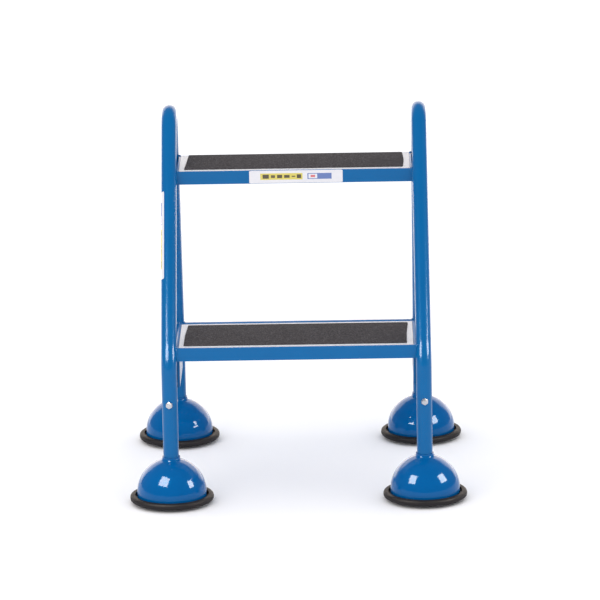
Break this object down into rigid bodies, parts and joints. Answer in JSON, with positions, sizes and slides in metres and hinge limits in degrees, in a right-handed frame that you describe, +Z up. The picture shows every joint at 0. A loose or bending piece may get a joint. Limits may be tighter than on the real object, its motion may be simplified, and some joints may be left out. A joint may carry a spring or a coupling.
{
  "type": "two-tread mobile step",
  "caption": "Blue tubular two-tread step used as a mounting block, on domed feet that hide sprung castors and plant rubber rims when stood on.",
  "frame": {"origin": "on the floor under the middle of the four feet, with the step standing unloaded on its castors", "axes": "+Z up, +Y from the climber's side to the back, +X to the climber's right"},
  "size_m": [0.5522, 0.5192, 0.6088],
  "materials": {
    "frame_paint": "gloss blue powder coat",
    "dome_paint": "high gloss blue enamel",
    "tread_board": "pale grey laminated board",
    "tread_mat": "dark grey anti-slip sheet",
    "rim_rubber": "black moulded rubber",
    "zinc_plate": "bright zinc plate",
    "guide_steel": "drawn steel tube",
    "spring_steel": "bright spring wire",
    "bush_nylon": "black nylon",
    "hub_nylon": "dark grey nylon",
    "castor_rubber": "grey moulded rubber",
    "label_film": "white printed film"
  },
  "bodies": {
    "frame": {"foot_dome_front_left": "dome_paint", "foot_dome_front_right": "dome_paint", "foot_dome_rear_left": "dome_paint", "foot_dome_rear_right": "dome_paint", "foot_rim_front_left": "rim_rubber", "foot_rim_front_right": "rim_rubber", "foot_rim_rear_left": "rim_rubber", "foot_rim_rear_right": "rim_rubber", "guide_bush_front_left": "bush_nylon", "guide_bush_front_right": "bush_nylon", "guide_bush_rear_left": "bush_nylon", "guide_bush_rear_right": "bush_nylon", "leg_bolts": "zinc_plate", "leg_label": "label_film", "leg_nuts": "zinc_plate", "leg_sleeve_front_left": "guide_steel", "leg_sleeve_front_right": "guide_steel", "leg_sleeve_rear_left": "guide_steel", "leg_sleeve_rear_right": "guide_steel", "lower_tread_board": "tread_board", "lower_tread_frame": "frame_paint", "lower_tread_hangers": "frame_paint", "lower_tread_mat": "tread_mat", "lower_tread_screws": "zinc_plate", "rail_label": "label_film", "rear_cross_tube": "frame_paint", "return_spring_front_left": "spring_steel", "return_spring_front_right": "spring_steel", "return_spring_rear_left": "spring_steel", "return_spring_rear_right": "spring_steel", "side_frame_left": "frame_paint", "side_frame_right": "frame_paint", "side_stay_left": "frame_paint", "side_stay_right": "frame_paint", "spring_seats": "zinc_plate", "upper_tread_board": "tread_board", "upper_tread_frame": "frame_paint", "upper_tread_mat": "tread_mat", "upper_tread_screws": "zinc_plate"},
    "plunger_front_left": {"plunger_stem_front_left": "zinc_plate"},
    "fork_front_left": {"castor_fork_front_left": "zinc_plate", "castor_axle_front_left": "zinc_plate"},
    "wheel_front_left": {"castor_tyre_front_left": "castor_rubber", "castor_hub_front_left": "hub_nylon"},
    "plunger_front_right": {"plunger_stem_front_right": "zinc_plate"},
    "fork_front_right": {"castor_fork_front_right": "zinc_plate", "castor_axle_front_right": "zinc_plate"},
    "wheel_front_right": {"castor_tyre_front_right": "castor_rubber", "castor_hub_front_right": "hub_nylon"},
    "plunger_rear_left": {"plunger_stem_rear_left": "zinc_plate"},
    "fork_rear_left": {"castor_fork_rear_left": "zinc_plate", "castor_axle_rear_left": "zinc_plate"},
    "wheel_rear_left": {"castor_tyre_rear_left": "castor_rubber", "castor_hub_rear_left": "hub_nylon"},
    "plunger_rear_right": {"plunger_stem_rear_right": "zinc_plate"},
    "fork_rear_right": {"castor_fork_rear_right": "zinc_plate", "castor_axle_rear_right": "zinc_plate"},
    "wheel_rear_right": {"castor_tyre_rear_right": "castor_rubber", "castor_hub_rear_right": "hub_nylon"}
  },
  "joints": [
    {"name": "plunge_front_left", "type": "slide", "parent": "frame", "child": "plunger_front_left", "axis": [0, 0, 1], "range_m": [0, 0.008], "stiffness_N_per_m": 3000, "springref_m": -0.02, "deforming": ["return_spring_front_left"]},
    {"name": "swivel_front_left", "type": "hinge", "parent": "plunger_front_left", "child": "fork_front_left", "pos_m": [-0.2075, -0.191, 0.043], "axis": [0, 0, 1], "continuous": true},
    {"name": "roll_front_left", "type": "hinge", "parent": "fork_front_left", "child": "wheel_front_left", "pos_m": [-0.20271, -0.20416, 0.019], "axis": [-0.9397, -0.342, 0], "continuous": true},
    {"name": "plunge_front_right", "type": "slide", "parent": "frame", "child": "plunger_front_right", "axis": [0, 0, 1], "range_m": [0, 0.008], "stiffness_N_per_m": 3000, "springref_m": -0.02, "deforming": ["return_spring_front_right"]},
    {"name": "swivel_front_right", "type": "hinge", "parent": "plunger_front_right", "child": "fork_front_right", "pos_m": [0.2075, -0.191, 0.043], "axis": [0, 0, 1], "continuous": true},
    {"name": "roll_front_right", "type": "hinge", "parent": "fork_front_right", "child": "wheel_front_right", "pos_m": [0.21229, -0.17784, 0.019], "axis": [0.9397, -0.342, 0], "continuous": true},
    {"name": "plunge_rear_left", "type": "slide", "parent": "frame", "child": "plunger_rear_left", "axis": [0, 0, 1], "range_m": [0, 0.008], "stiffness_N_per_m": 3000, "springref_m": -0.02, "deforming": ["return_spring_rear_left"]},
    {"name": "swivel_rear_left", "type": "hinge", "parent": "plunger_rear_left", "child": "fork_rear_left", "pos_m": [-0.2075, 0.191, 0.043], "axis": [0, 0, 1], "continuous": true},
    {"name": "roll_rear_left", "type": "hinge", "parent": "fork_rear_left", "child": "wheel_rear_left", "pos_m": [-0.21229, 0.20416, 0.019], "axis": [0.9397, 0.342, 0], "continuous": true},
    {"name": "plunge_rear_right", "type": "slide", "parent": "frame", "child": "plunger_rear_right", "axis": [0, 0, 1], "range_m": [0, 0.008], "stiffness_N_per_m": 3000, "springref_m": -0.02, "deforming": ["return_spring_rear_right"]},
    {"name": "swivel_rear_right", "type": "hinge", "parent": "plunger_rear_right", "child": "fork_rear_right", "pos_m": [0.2075, 0.191, 0.043], "axis": [0, 0, 1], "continuous": true},
    {"name": "roll_rear_right", "type": "hinge", "parent": "fork_rear_right", "child": "wheel_rear_right", "pos_m": [0.20271, 0.17784, 0.019], "axis": [-0.9397, 0.342, 0], "continuous": true}
  ]
}
